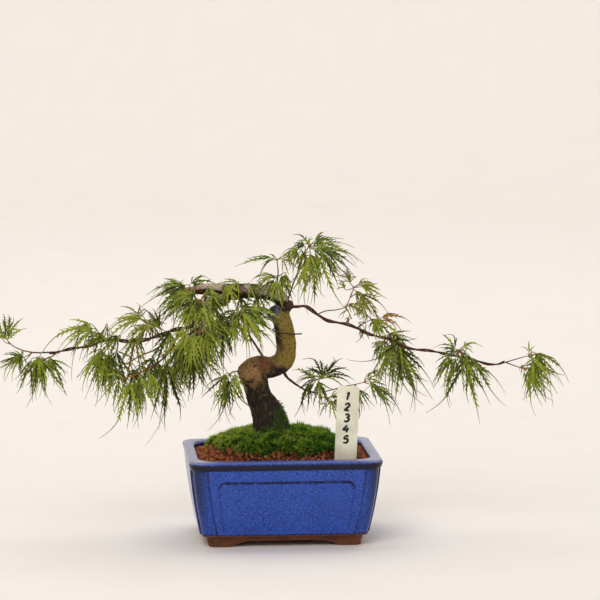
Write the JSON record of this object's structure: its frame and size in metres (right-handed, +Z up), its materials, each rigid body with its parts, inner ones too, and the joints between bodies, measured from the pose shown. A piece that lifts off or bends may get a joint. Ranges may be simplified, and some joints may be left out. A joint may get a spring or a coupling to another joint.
{
  "type": "potted bonsai tree",
  "caption": "Wired lace-leaf maple bonsai in a glazed rectangular pot, with soil, moss and a plant label; stands on the pot's feet.",
  "frame": {"origin": "centre of the bounding box, at the underside of the pot's feet", "axes": "+Z up, +X to the right along the long branches as seen from the front, -Y towards the front of the pot"},
  "size_m": [0.4028, 0.104, 0.2118],
  "materials": {
    "pot": "gloss",
    "soil": "matte",
    "moss": "matte",
    "label": "matte",
    "bark": "matte",
    "wound_paste": "satin",
    "wire": "satin",
    "leaf": "satin",
    "leaf_reddish": "satin"
  },
  "bodies": {
    "root": {"pot": "pot", "soil": "soil", "moss": "moss", "plant_label": "label", "tree": "bark", "wound_paste": "wound_paste", "wire_right": "wire", "wire_left": "wire", "spray_left_tip": "leaf", "spray_left_outer": "leaf", "spray_left_upper": "leaf", "spray_left_red": "leaf_reddish", "spray_left_low": "leaf", "spray_left_front": "leaf", "spray_left_back": "leaf", "spray_left_mid": "leaf", "spray_limb_end": "leaf", "spray_limb_front": "leaf", "spray_leader_front": "leaf", "spray_leader_low": "leaf", "spray_limb_back": "leaf", "spray_inner_top": "leaf", "spray_trunk_left": "leaf", "spray_crown_left": "leaf", "spray_crown_top": "leaf", "spray_right_red": "leaf_reddish", "spray_right_a": "leaf", "spray_right_b": "leaf", "spray_right_c": "leaf", "spray_right_tip": "leaf", "spray_low_right_a": "leaf", "spray_low_right_b": "leaf", "spray_low_right_c": "leaf"}
  },
  "joints": []
}
